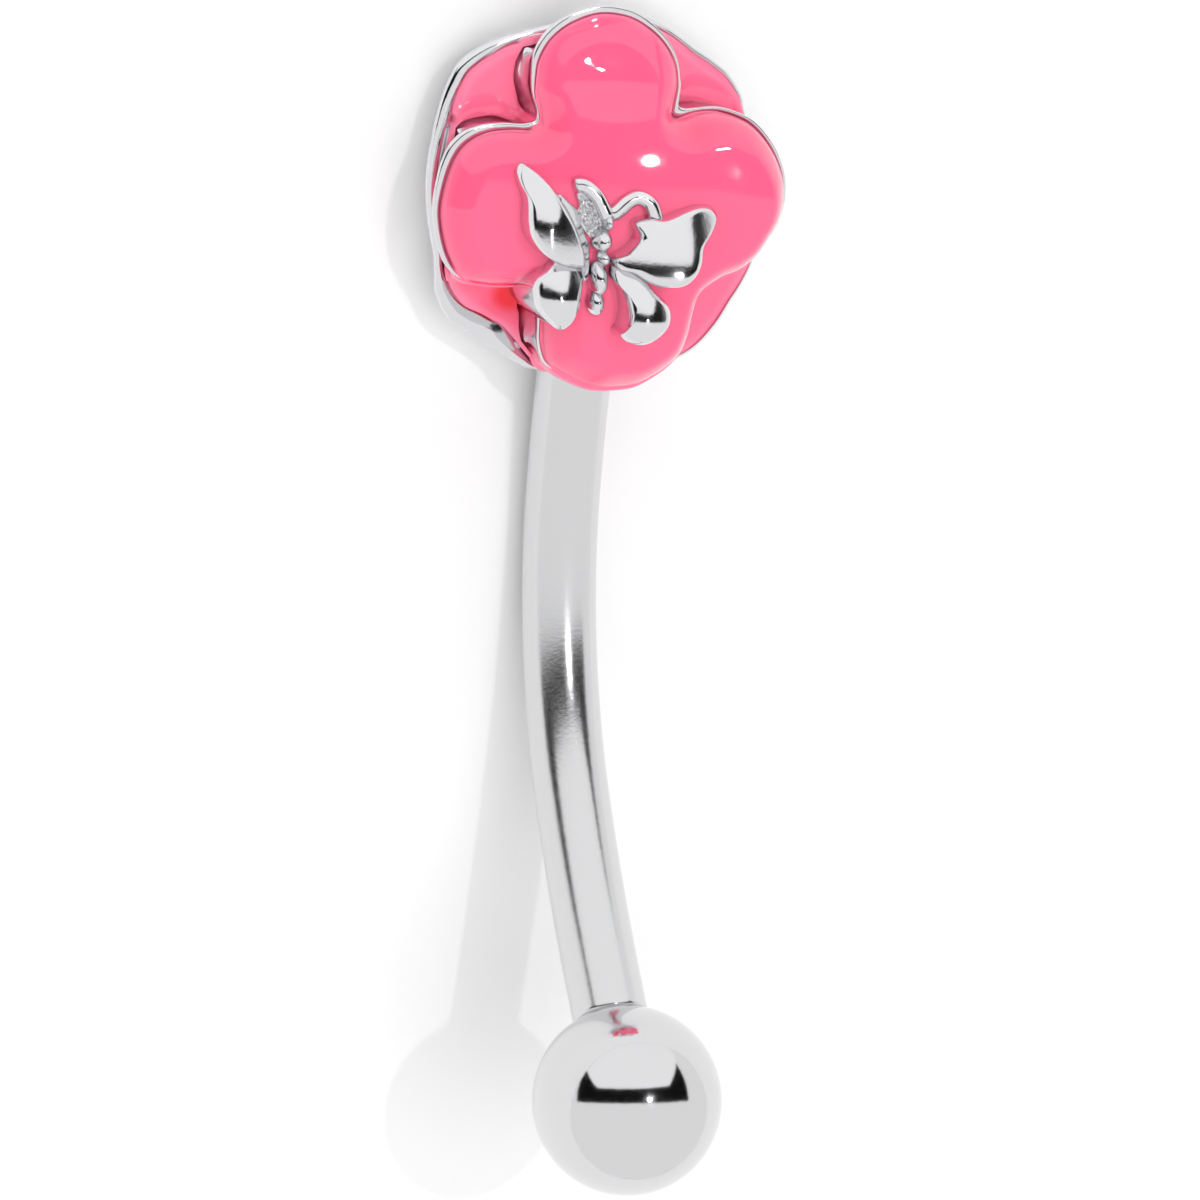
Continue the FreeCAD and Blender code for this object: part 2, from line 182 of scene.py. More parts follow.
def skin(rings, start, end):
    """Vertices and faces of a tube of closed rings, closed by a point at each end."""
    count = len(rings[0])
    last = (len(rings) - 1) * count
    verts = [tuple(p) for ring in rings for p in ring] + [tuple(start), tuple(end)]
    faces = []
    for k in range(count):
        n = (k + 1) % count
        for base in range(0, last, count):
            faces.append((base + k, base + n, base + count + n, base + count + k))
        faces.append((len(verts) - 2, n, k))
        faces.append((len(verts) - 1, last + k, last + n))
    return verts, faces


def join_shells(shells):
    """Vertices and faces of several shells as one mesh."""
    verts, faces = [], []
    for v, f in shells:
        base = len(verts)
        verts += list(v)
        faces += [tuple(i + base for i in face) for face in f]
    return verts, faces


def densify(stations, steps):
    """A finer profile through its stations, each a radius and a height for every azimuth."""
    points = [np.stack(station, -1) for station in stations]
    result = []
    for i in range(len(points) - 1):
        p0 = points[max(i - 1, 0)]
        p1, p2 = points[i], points[i + 1]
        p3 = points[min(i + 2, len(points) - 1)]
        gap = np.linalg.norm(p2 - p1, axis=-1, keepdims=True) + 1e-9
        before = np.linalg.norm(p1 - p0, axis=-1, keepdims=True) + 1e-9
        after = np.linalg.norm(p3 - p2, axis=-1, keepdims=True) + 1e-9
        m1 = (p2 - p1) * before / (before + gap) + (p1 - p0) / before * gap * gap / (before + gap)
        m2 = (p2 - p1) * after / (after + gap) + (p3 - p2) / after * gap * gap / (after + gap)
        if i == 0:
            m1 = p2 - p1
        if i == len(points) - 2:
            m2 = p2 - p1
        for k in range(steps):
            result.append(between(k / steps, p1, m1, p2, m2))
    result.append(points[-1])
    return result


# Materials

def new_material(name):
    """A node material, with its nodes, links and shader."""
    material = bpy.data.materials.new(name)
    material.use_nodes = True
    nodes = material.node_tree.nodes
    return material, nodes, material.node_tree.links, nodes["Principled BSDF"]


# Each metal's finish: roughness, then the scale and height of its fine grain and of a slower waviness
FINISHES = {
    "polished_steel": (0.21, 20000.0, 1.2e-6, 1500.0, 2.0e-6),
    "mirror_steel": (0.09, 12000.0, 0.5e-6, 1100.0, 1.2e-6),
    "bright_plating": (0.10, 9000.0, 1.5e-6, 1800.0, 4.0e-6),
    "butterfly_plating": (0.13, 26000.0, 0.7e-6, 2600.0, 3.0e-6),
}
ENAMEL_WAVES = (1400.0, 1.2e-6)
ENAMEL_ROUGHNESS = 0.03
ENAMEL_COAT = 0.15
# The depth at which the enamel has its usual colour, between thin and pooled; the pooled end also carries
# painted shade
USUAL_DEPTH = 0.45


def noise_bump(nodes, links, scale, height, detail):
    """A noise on object coordinates, and the bump that it makes."""
    coords = nodes.new("ShaderNodeTexCoord")
    pattern = nodes.new("ShaderNodeTexNoise")
    pattern.inputs["Scale"].default_value = scale
    pattern.inputs["Detail"].default_value = detail
    links.new(coords.outputs["Object"], pattern.inputs["Vector"])
    bump = nodes.new("ShaderNodeBump")
    bump.inputs["Strength"].default_value = 1.0
    bump.inputs["Distance"].default_value = height
    links.new(pattern.outputs["Fac"], bump.inputs["Height"])
    return pattern, bump


def metal(name, colour):
    """Bright metal with a fine grain and a faint slower waviness in its polish."""
    roughness, grain_scale, grain_height, wave_scale, wave_height = FINISHES[name]
    material, nodes, links, shader = new_material(name)
    shader.inputs["Base Color"].default_value = (*colour, 1)
    shader.inputs["Metallic"].default_value = 1.0
    grain, fine = noise_bump(nodes, links, grain_scale, grain_height, 3.0)
    wavy = noise_bump(nodes, links, wave_scale, wave_height, 2.0)[1]
    links.new(wavy.outputs["Normal"], fine.inputs["Normal"])
    links.new(fine.outputs["Normal"], shader.inputs["Normal"])
    spread = nodes.new("ShaderNodeMapRange")
    spread.inputs["To Min"].default_value = roughness * 0.7
    spread.inputs["To Max"].default_value = roughness * 1.3
    links.new(grain.outputs["Fac"], spread.inputs["Value"])
    links.new(spread.outputs["Result"], shader.inputs["Roughness"])
    return material


def enamel_material(thin, usual, pool_and_shade):
    """Glossy enamel that is paler where it is thin and red where it is deep, the deep red also painting
    shade in the notches and at the foot of the front petals' wall.
    """
    material, nodes, links, shader = new_material("pink_enamel")
    depth = nodes.new("ShaderNodeAttribute")
    depth.attribute_name = "depth"
    ramp = nodes.new("ShaderNodeValToRGB")
    ramp.color_ramp.interpolation = "EASE"
    stops = ramp.color_ramp.elements
    stops[0].position, stops[0].color = 0.0, (*thin, 1)
    # The deepest stop is the red of pooled enamel, which also paints the shade of the notches and of the
    # front petals' wall foot
    stops[1].position, stops[1].color = 1.0, (*pool_and_shade, 1)
    stops.new(USUAL_DEPTH).color = (*usual, 1)
    links.new(depth.outputs["Fac"], ramp.inputs["Fac"])
    links.new(ramp.outputs["Color"], shader.inputs["Base Color"])
    waves = noise_bump(nodes, links, *ENAMEL_WAVES, 2.0)[1]
    links.new(waves.outputs["Normal"], shader.inputs["Normal"])
    shader.inputs["Roughness"].default_value = ENAMEL_ROUGHNESS
    shader.inputs["IOR"].default_value = 1.5
    shader.inputs["Coat Weight"].default_value = ENAMEL_COAT
    shader.inputs["Coat Roughness"].default_value = ENAMEL_ROUGHNESS
    return material


# Settings

def length(name, description, default):
    """A length that can be set, with its default in millimetres."""
    return bpy.props.FloatProperty(name=name, description=description, default=default * MM, unit="LENGTH")


def colour_of(name, description, default):
    """A colour that can be set."""
    return bpy.props.FloatVectorProperty(
        name=name, description=description, default=default, subtype="COLOR", size=3, min=0, max=1)


class BarSettings(bpy.types.PropertyGroup):
    diameter: length("Diameter", "Thickness of the bent bar", 1.2)
    middle_radius: length("Middle bend", "Bend radius of the bar's middle", 8.17)
    ease_radius: length("End bend", "Bend radius towards both ends", 18.7)
    sides: bpy.props.IntProperty(name="Sides", description="Faces around the bar", default=96, min=12)
    colour: colour_of("Steel colour", "Colour of the polished steel", (0.68, 0.68, 0.69))


class BallSettings(bpy.types.PropertyGroup):
    diameter: length("Diameter", "Diameter of the ball", 3.0)
    bore_diameter: length("Bore", "Diameter of the blind hole", 1.04)
    bore_depth: length("Bore depth", "Depth of the blind hole", 2.2)
    colour: colour_of("Ball colour", "Colour of the mirror polish", (0.69, 0.69, 0.70))


class FlowerSettings(bpy.types.PropertyGroup):
    front_edge_height: length("Front edge height", "Height of the front petals' rim", 1.78)
    back_rim_height: length("Back rim height", "Height of the back petals' rim", 0.95)
    dome_height: length("Dome", "How far the front enamel is domed", 0.87)
    azimuths: bpy.props.IntProperty(
        name="Azimuths", description="Steps round the flower", default=420, min=48)
    metal_colour: colour_of("Plating colour", "Colour of the bright plating", (0.74, 0.74, 0.76))
    thin_colour: colour_of("Thin enamel", "Enamel where it is thin", (1.0, 0.22, 0.36))
    enamel_colour: colour_of("Enamel", "Enamel at its usual depth", (1.0, 0.12, 0.25))
    # Red of pooled enamel, also the painted shade in the notches and at the foot of the front petals' wall
    pool_and_shade_colour: colour_of("Deep enamel", "Enamel where it has pooled", (0.95, 0.004, 0.03))


class ButterflySettings(bpy.types.PropertyGroup):
    wing_lift: length("Wing lift", "Least height of a wing's edge over the enamel", 0.03)
    pitting: length("Pitting", "Height of the lumps in the unpolished patch", 0.07)
    antenna_width: length("Antenna width", "Thickness of the antennae", 0.24)


class StudioSettings(bpy.types.PropertyGroup):
    tent: bpy.props.FloatProperty(
        name="Tent", description="Brightness of the white surroundings", default=1.2, min=0)
    softbox: bpy.props.FloatProperty(
        name="Softbox", description="Brightness of the softbox over the camera", default=1.35, min=0)
    dark: bpy.props.FloatProperty(
        name="Dark room", description="Brightness of the room behind the camera", default=0.005, min=0)
    flash: bpy.props.FloatProperty(
        name="Flash", description="Brightness of the small lamp beside the camera", default=1100.0, min=0)
    overhead: bpy.props.FloatProperty(
        name="Overhead", description="Power of the soft light above the floor", default=1.3, min=0,
        unit="POWER")
    floor_colour: colour_of("Floor", "Colour of the plain floor", (0.87, 0.87, 0.87))


# Bar

# From the centre of the 3 mm ball to its flat seat, which is as wide as the 1.2 mm bar
SEAT_DISTANCE = math.sqrt(1.5 ** 2 - 0.6 ** 2)
SEAT_GAP = 0.01
# The bend's middle as the piece lies: how it leans, and where the bar is lowest
REST_TILT = 15.0
LOWEST_POINT_Y = -5.26
# The bend is tight for this angle each way from its middle, and gentler for these angles towards the ends
MIDDLE_HALF_ANGLE = 17.2
BALL_EASE_ANGLE = 9.2
FLOWER_EASE_ANGLE = 5.4
# Straight lengths: from the bend to the ball's centre, and into the flower
BALL_PAST_EASE = 2.27
BAR_IN_FLOWER = 1.7
BAR_STEP = 0.08
END_BEVEL = 0.03
STUD_RADIUS = 0.5
STUD_LENGTH = 2.0
THREAD_PITCH = 0.25
THREAD_DEPTH = 0.06
# One turn of thread: how far along it, and how much of the thread's depth stands there
THREAD_FORM = ((0.10, 0), (0.175, 1), (0.20, 1))


def walk(y, z, slope, way, bends, straight):
    """Points along the bar's centre line in its plane, from the middle of the bend to one end."""
    points = [(y, z, slope)]
    for radius, degrees in bends:
        count = max(2, int(radius * math.radians(degrees) / BAR_STEP))
        hub_y, hub_z = y - radius * math.sin(slope), z + radius * math.cos(slope)
        start = slope
        for k in range(1, count + 1):
            slope = start + way * math.radians(degrees) * k / count
            y, z = hub_y + radius * math.sin(slope), hub_z - radius * math.cos(slope)
            points.append((y, z, slope))
    count = max(2, int(straight / BAR_STEP))
    for k in range(1, count + 1):
        d = way * straight * k / count
        points.append((y + math.cos(slope) * d, z + math.sin(slope) * d, slope))
    return points


def bar_walks(settings):
    """The two halves of the bar's centre line, towards the flower and towards the ball."""
    slope = math.radians(-REST_TILT)
    middle, bar_radius = settings.middle_radius / MM, settings.diameter / MM / 2
    y = LOWEST_POINT_Y + middle * math.sin(slope)
    z = bar_radius + middle * (1 - math.cos(slope))
    ease_radius = settings.ease_radius / MM
    flower_bends = [(middle, MIDDLE_HALF_ANGLE), (ease_radius, FLOWER_EASE_ANGLE)]
    ball_bends = [(middle, MIDDLE_HALF_ANGLE), (ease_radius, BALL_EASE_ANGLE)]
    to_flower = walk(y, z, slope, 1, flower_bends, BAR_IN_FLOWER)
    to_ball = walk(y, z, slope, -1, ball_bends, BALL_PAST_EASE - SEAT_DISTANCE - SEAT_GAP)
    return to_flower, to_ball


def ball_place(settings):
    """The ball's centre in millimetres, and the way from it towards the bar."""
    y, z, slope = bar_walks(settings)[1][-1]
    reach = SEAT_DISTANCE + SEAT_GAP
    towards = Vector((0, math.cos(slope), math.sin(slope)))
    centre = Vector((0, y, z)) - towards * reach
    return centre + Vector((AXIS_X, AXIS_Y, 0)), towards


def bar_tree():
    """A tree that sweeps a round profile along the route, as thick at each point as its girth says."""
    tree = bpy.data.node_groups.new("Bar sweep", "GeometryNodeTree")
    for way, name, kind in (
        ("INPUT", "Geometry", "NodeSocketGeometry"), ("INPUT", "Sides", "NodeSocketInt"),
        ("INPUT", "Material", "NodeSocketMaterial"), ("OUTPUT", "Geometry", "NodeSocketGeometry"),
    ):
        tree.interface.new_socket(name=name, in_out=way, socket_type=kind)
    nodes, links = tree.nodes, tree.links
    given, result = nodes.new("NodeGroupInput"), nodes.new("NodeGroupOutput")
    curve = nodes.new("GeometryNodeMeshToCurve")
    girth = nodes.new("GeometryNodeInputNamedAttribute")
    girth.data_type = "FLOAT"
    girth.inputs["Name"].default_value = "girth"
    circle = nodes.new("GeometryNodeCurvePrimitiveCircle")
    circle.inputs["Radius"].default_value = 1.0
    sweep = nodes.new("GeometryNodeCurveToMesh")
    sweep.inputs["Fill Caps"].default_value = True
    real = nodes.new("GeometryNodeRealizeInstances")
    paint = nodes.new("GeometryNodeSetMaterial")
    links.new(given.outputs["Geometry"], curve.inputs["Mesh"])
    links.new(given.outputs["Sides"], circle.inputs["Resolution"])
    links.new(curve.outputs["Curve"], sweep.inputs["Curve"])
    links.new(circle.outputs["Curve"], sweep.inputs["Profile Curve"])
    links.new(girth.outputs["Attribute"], sweep.inputs["Scale"])
    links.new(sweep.outputs["Mesh"], real.inputs["Geometry"])
    links.new(real.outputs["Geometry"], paint.inputs["Geometry"])
    links.new(given.outputs["Material"], paint.inputs["Material"])
    links.new(paint.outputs["Geometry"], result.inputs["Geometry"])
    return tree


def set_input(modifier, tree, name, value):
    """Sets a modifier's input by the identifier that its name has in the tree."""
    for item in tree.interface.items_tree:
        if item.item_type == "SOCKET" and item.in_out == "INPUT" and item.name == name:
            modifier[item.identifier] = value


def converted(obj, name):
    """A plain mesh of what the object's modifiers make, in place of the object."""
    bpy.context.view_layer.update()
    evaluated = obj.evaluated_get(bpy.context.evaluated_depsgraph_get())
    mesh = bpy.data.meshes.new_from_object(evaluated)
    bpy.data.objects.remove(obj)
    mesh.name = name
    mesh.shade_smooth()
    return add_object(name, mesh)


class BARBELL_OT_bar(bpy.types.Operator):
    """Bent bar with its shoulder and threaded stud"""

    bl_idname = "barbell.bar"
    bl_label = "Bar"

    def execute(self, context):
        settings = context.scene.barbell_bar
        radius = settings.diameter / MM / 2
        to_flower, to_ball = bar_walks(settings)
        route = [(y, z, radius) for y, z, _ in [*reversed(to_flower), *to_ball[1:]]]
        y, z, slope = to_ball[-1]
        route[-1] = (y, z, radius - END_BEVEL)
        route.insert(-1, (y + math.cos(slope) * END_BEVEL, z + math.sin(slope) * END_BEVEL, radius))
        core = STUD_RADIUS - THREAD_DEPTH
        stud = [(0.001, core)]
        for turn in range(int(STUD_LENGTH / THREAD_PITCH)):
            for along, share in THREAD_FORM:
                stud.append((turn * THREAD_PITCH + along, core + THREAD_DEPTH * share))
        stud.append((STUD_LENGTH, core - END_BEVEL))
        for d, girth in stud:
            route.append((y - math.cos(slope) * d, z - math.sin(slope) * d, girth))
        mesh = bpy.data.meshes.new("bar_route")
        points = [(AXIS_X * MM, (y + AXIS_Y) * MM, z * MM) for y, z, _ in route]
        mesh.from_pydata(points, [(k, k + 1) for k in range(len(points) - 1)], [])
        girth = mesh.attributes.new("girth", "FLOAT", "POINT")
        girth.data.foreach_set("value", [g * MM for _, _, g in route])
        obj = add_object("bar_route", mesh)
        steel = metal("polished_steel", settings.colour)
        tree = bar_tree()
        modifier = obj.modifiers.new("Bar sweep", "NODES")
        modifier.node_group = tree
        set_input(modifier, tree, "Sides", settings.sides)
        set_input(modifier, tree, "Material", steel)
        bar = converted(obj, "bent_bar")
        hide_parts("curved_bar")
        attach(bar, "barbell")
        return {"FINISHED"}


# Ball

BALL_SIDES = 192
BALL_STEPS = 95
SEAT_RADIUS = 0.62
SEAT_BEVEL = 0.006
BORE_MOUTH = 0.03
BORE_FOOT = 0.02


class BARBELL_OT_ball(bpy.types.Operator):
    """Screw-on ball with a flat seat and a blind bore"""

    bl_idname = "barbell.ball"
    bl_label = "Ball"

    def execute(self, context):
        settings = context.scene.barbell_ball
        centre, towards = ball_place(context.scene.barbell_bar)
        radius = settings.diameter / MM / 2
        bore = settings.bore_diameter / MM / 2
        start = math.asin(SEAT_RADIUS / radius) + 0.012
        profile = []
        for k in range(1, BALL_STEPS + 1):
            angle = math.pi - (math.pi - start) * k / BALL_STEPS
            profile.append((radius * math.cos(angle), radius * math.sin(angle)))
        flat = SEAT_DISTANCE
        profile += [(flat + 0.004, SEAT_RADIUS + SEAT_BEVEL), (flat, SEAT_RADIUS - SEAT_BEVEL)]
        profile += [(flat, bore + BORE_MOUTH), (flat - BORE_MOUTH, bore)]
        bottom = flat - settings.bore_depth / MM
        profile += [(bottom + BORE_FOOT, bore), (bottom, bore - BORE_FOOT)]
        side = Vector((1, 0, 0))
        across = towards.cross(side)
        rings = []
        for along, out in profile:
            ring = []
            for k in range(BALL_SIDES):
                angle = 2 * math.pi * k / BALL_SIDES
                p = centre + towards * along + (side * math.cos(angle) + across * math.sin(angle)) * out
                ring.append(p * MM)
            rings.append(ring)
        verts, faces = skin(rings, (centre - towards * radius) * MM, (centre + towards * bottom) * MM)
        ball = finish_mesh("screw_ball", verts, faces)
        ball.data.materials.append(metal("mirror_steel", settings.colour))
        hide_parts("ball")
        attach(ball, "ball")
        return {"FINISHED"}


# Flower

# The rims lean: the height rises by this much for each millimetre to the right and up
EDGE_LEAN = (0.07, -0.08)
RIM_LEAN = (0.04, -0.04)
# Where the enamel's dome peaks, how fast it falls away to each side and up or down, and how low it gets
DOME_PEAK = (1.31, -1.15)
DOME_FALL = (0.030, 0.048)
DOME_LEAST = 0.06
# How far in from the front outline the enamel starts, and how much further it takes to swell up
ENAMEL_INSET = 0.06
PUFF_REACH = 0.44
# The rings of the front enamel as shares of its radius, and the finer steps between two rings
DOME_SHARES = (
    0.05, 0.12, 0.2, 0.29, 0.38, 0.47, 0.56, 0.64, 0.71, 0.77, 0.82, 0.865, 0.90, 0.93, 0.955, 0.975, 0.99,
)
PROFILE_STEPS = 4
DOME_RINGS = PROFILE_STEPS * (len(DOME_SHARES) - 1)
# How far the casting lies under the front enamel, and how thick that enamel is
RECESS = 0.25
ENAMEL_THICKNESS = 0.12
# Gentle unevenness of the poured enamel: place, height, and reach to the sides and up or down
SWELLS = (
    (-0.05, 1.97, -0.095, 0.80, 0.42), (2.20, 0.15, 0.058, 0.50, 1.20), (1.90, 1.25, 0.030, 0.45, 0.35),
)


class Flower:
    """The flower's outlines and heights, in millimetres, for the casting, the enamel and the butterfly."""

    def __init__(self, settings):
        self.edge = settings.front_edge_height / MM
        self.rim = settings.back_rim_height / MM
        self.dome = settings.dome_height / MM
        dense = np.linspace(0, 360, 7201)
        angle = np.radians(dense)
        length = 0
        for table in (FRONT_OUTLINE, BACK_OUTLINE):
            radius = lookup(table, dense)
            length = length + np.hypot(np.diff(radius * np.cos(angle)), np.diff(radius * np.sin(angle)))
        travelled = np.concatenate([[0], np.cumsum(length)])
        wanted = np.linspace(0, travelled[-1], settings.azimuths + 1)[:-1]
        self.degrees = np.interp(wanted, travelled, dense)
        self.angle = np.radians(self.degrees)
        self.front = lookup(FRONT_OUTLINE, self.degrees)
        self.back = lookup(BACK_OUTLINE, self.degrees)
        self.field = self.back - lookup(BACK_RIM_WIDTH, self.degrees)
        self.foot = np.minimum(self.front, self.field - 0.1)
        self.lip = lookup(FRONT_LIP, self.degrees)
        self.flow = lookup(ENAMEL_FLOW, self.degrees)
        self.gap = lookup(WALL_GAP, self.degrees)
        self.bare = np.clip(self.gap / 0.08, 0, 1)
        around = np.radians(np.linspace(0, 360, 901))
        reach = lookup(FRONT_OUTLINE, np.degrees(around))
        self.outline = np.column_stack([reach * np.cos(around), reach * np.sin(around)])

    def xy(self, radius):
        """Places at a radius for every azimuth."""
        return radius * np.cos(self.angle), radius * np.sin(self.angle)

    def inside(self, x, y):
        """Distance in from the front outline, negative outside it."""
        x, y = np.atleast_1d(x).astype(float), np.atleast_1d(y).astype(float)
        points = np.column_stack([x.ravel(), y.ravel()])
        start, step = self.outline[:-1], np.diff(self.outline, axis=0)
        size = (step ** 2).sum(1)
        nearest = np.empty(len(points))
        batch = 2000
        for k in range(0, len(points), batch):
            offset = points[k:k + batch, None, :] - start[None]
            share = np.clip((offset * step).sum(2) / size, 0, 1)
            gap = offset - share[..., None] * step
            nearest[k:k + batch] = np.sqrt((gap ** 2).sum(2).min(1))
        reach = lookup(FRONT_OUTLINE, np.degrees(np.arctan2(y, x)))
        return nearest.reshape(x.shape) * np.where(np.hypot(x, y) < reach, 1, -1)

    def edge_z(self, x, y):
        return self.edge + EDGE_LEAN[0] * x + EDGE_LEAN[1] * y

    def rim_z(self, x, y):
        return self.rim + RIM_LEAN[0] * x + RIM_LEAN[1] * y

    def surface(self, x, y):
        """Height of the front enamel over a point on the flower."""
        fall = DOME_FALL[0] * (x - DOME_PEAK[0]) ** 2 + DOME_FALL[1] * (y - DOME_PEAK[1]) ** 2
        share = np.clip((self.inside(x, y) - ENAMEL_INSET) / PUFF_REACH, 0, 1)
        rise = np.sqrt(1 - (1 - share) ** 2)
        z = self.edge_z(x, y) + np.maximum(self.dome - fall, DOME_LEAST) * (0.7 * rise + 0.3 * ease(share))
        for sx, sy, height, wide, tall in SWELLS:
            z = z + height * np.exp(-((x - sx) / wide) ** 2 - ((y - sy) / tall) ** 2) * rise
        return z

    def field_z(self, x, y):
        """Height of the back petals' enamel, which climbs towards the front petals' wall."""
        away = np.maximum(-self.inside(x, y), 0)
        z = self.rim_z(x, y) - 0.03 + 0.22 * np.exp(-away / 0.30)
        for azimuth, radius, reach, depth in HOLLOWS:
            a = math.radians(azimuth)
            gap2 = (x - radius * math.cos(a)) ** 2 + (y - radius * math.sin(a)) ** 2
            z = z - depth * np.exp(-gap2 / reach ** 2)
        return z

    def on_edge(self, radius, lift):
        """A station at a radius, lifted off the plane of the front petals' rim."""
        return radius, self.edge_z(*self.xy(radius)) + lift

    def on_rim(self, radius, lift):
        """A station at a radius, lifted off the plane of the back petals' rim."""
        return radius, self.rim_z(*self.xy(radius)) + lift

    def on_field(self, radius, lift):
        """A station at a radius, lifted off the back petals' enamel."""
        return radius, self.field_z(*self.xy(radius)) + lift

    def on_dome(self, radius, lift=0.0):
        """A station at a radius, lifted off the front petals' enamel."""
        return radius, self.surface(*self.xy(radius)) + lift

    def wall(self, radius, drop):
        """A station at a radius, below the front petals' rim as it stands over the wall."""
        return radius, self.edge_z(*self.xy(self.front)) - drop

    def rings(self, profile):
        """Rings of points, in the part's own frame, from stations of radius and height."""
        rings = []
        for rz in profile:
            x, y = self.xy(rz[..., 0])
            rings.append(np.stack([x + AXIS_X, y + AXIS_Y, rz[..., 1]], -1) * MM)
        return rings


def casting_profile(flower):
    """Stations of the casting from its flat back, over both rims and into the recess under the enamel."""
    front, back, field, foot = flower.front, flower.back, flower.field, flower.foot
    width, lip, gap, bare = back - field, flower.lip, flower.gap, flower.bare
    floor = np.zeros_like(front)
    outer = [
        (back - 0.62, floor), (back - 0.50, floor + 0.02), (back - 0.42, floor + 0.12),
        (back - 0.24, floor + 0.42), flower.on_rim(back - 0.07, -0.22), flower.on_rim(back, -0.08),
        flower.on_rim(back - 0.01, -0.015), flower.on_rim(back - 0.06, 0.025),
        flower.on_rim(field + width * 0.25, 0.01), flower.on_rim(field, -0.03),
        flower.on_rim(field - 0.03, -0.16), flower.on_rim((field + foot) / 2 - 0.01, -0.15),
        flower.on_rim(foot + 0.03 + gap, -0.08 + 0.09 * bare),
        flower.on_rim(foot + gap * 0.3, 0.05 + 0.10 * bare),
    ]
    inner = [
        flower.wall(front * 0.8 + foot * 0.2 - 0.015, 0.24), flower.on_edge(front + lip - 0.03, -0.12),
        flower.on_edge(front + lip, -0.05), flower.on_edge(front + lip - 0.015, 0.01),
        flower.on_edge(front + lip * 0.3 - 0.02, 0.015), flower.on_edge(front - 0.075, -0.05),
    ]
    return outer + inner + [flower.on_dome(front * share, -RECESS) for share in (0.93, 0.6, 0.2)]


def enamel_profile(flower):
    """Stations of the enamel from the centre, over or behind the front rim, and down to the back rim."""
    front, field, foot = flower.front, flower.field, flower.foot
    flow, gap, bare = flower.flow, flower.gap, flower.bare
    width = np.maximum(field - foot, 0.1)
    inner = front - ENAMEL_INSET
    top = [flower.on_dome(inner * share) for share in DOME_SHARES]
    over = [
        flower.on_edge(inner + 0.01 * flow, 0.03 * flow),
        flower.on_edge(front - 0.07 + 0.08 * flow, -0.08 + 0.08 * flow),
        flower.on_edge(front - 0.09 + 0.13 * flow, -0.16 + 0.08 * flow),
        flower.wall(front * 0.7 + foot * 0.3 - 0.08 + 0.15 * flow, 0.32),
    ]
    start = foot + 0.16 * flow
    low = [
        flower.on_field(start - 0.06 + gap * 0.6, 0.06 * flow - 0.02 - 0.4 * bare),
        flower.on_field(start + 0.01 + gap * 0.9, 0.02 * flow - 0.2 * bare),
        flower.on_field(start + 0.12 * width + gap * 0.9, 0.01 * flow - 0.02 * bare),
    ]
    taken = 0.08 * flow + gap * 0.5
    low += [flower.on_field(foot + taken + (width - taken) * share, 0.0) for share in (0.36, 0.55, 0.75)]
    rim = [flower.on_field(field + out, lift) for out, lift in ((-0.04, 0.0), (0.01, -0.02), (0.02, -0.10))]
    return top + over + low + rim


def enamel_depth_and_shade(flower, profile):
    """How deep the enamel is at each ring, from 0 at a thin edge to 1 where it has pooled deepest; the depth
    is raised as painted shade where the enamel runs into the notches, at the foot of the front petals' wall
    and in the notch between the left and bottom petals.
    """
    depths = []
    for rz in profile:
        radius = rz[..., 0]
        x, y = flower.xy(radius)
        inside = flower.inside(x, y)
        dome = 0.10 + 0.35 * ease(inside / 0.30 + 0.15)
        # Deeper red where the enamel runs over the front edge into the notches, partly thicker enamel and
        # partly painted shade
        dome = dome + 0.12 * flower.flow * np.exp(-np.abs(inside) / 0.1)
        outer = np.maximum(flower.field - radius, 0)
        # Deeper red towards the foot of the front petals' wall, partly thicker enamel and partly painted
        # shade in that crease; paler towards the back rim
        field = (0.26 + 0.40 * np.exp(inside / 0.10)) * ease(outer / 0.22 + 0.1)
        value = np.where(inside > 0, dome, field)
        # Painted shade: deep red in the notch between the left and bottom petals, where the enamel also
        # pools
        pool_and_shade = np.exp(-((x - POOL_AND_SHADE_CENTRE[0]) ** 2 + (y - POOL_AND_SHADE_CENTRE[1]) ** 2) / 0.30 ** 2)
        depths.append(np.clip(value + 0.8 * pool_and_shade, 0, 1))
    return depths


class BARBELL_OT_flower(bpy.types.Operator):
    """Cast flower: flat back, rimmed back petals and raised front petals"""

    bl_idname = "barbell.flower"
    bl_label = "Flower casting"

    def execute(self, context):
        settings = context.scene.barbell_flower
        flower = Flower(settings)
        rings = flower.rings(densify(casting_profile(flower), PROFILE_STEPS))
        top = float(flower.surface(0.0, 0.0)[0]) - RECESS
        obj = finish_mesh("flower_casting", *skin(rings, on_axis(0), on_axis(top)))
        obj.data.materials.append(metal("bright_plating", settings.metal_colour))
        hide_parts("flower")
        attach(obj, "barbell")
        return {"FINISHED"}


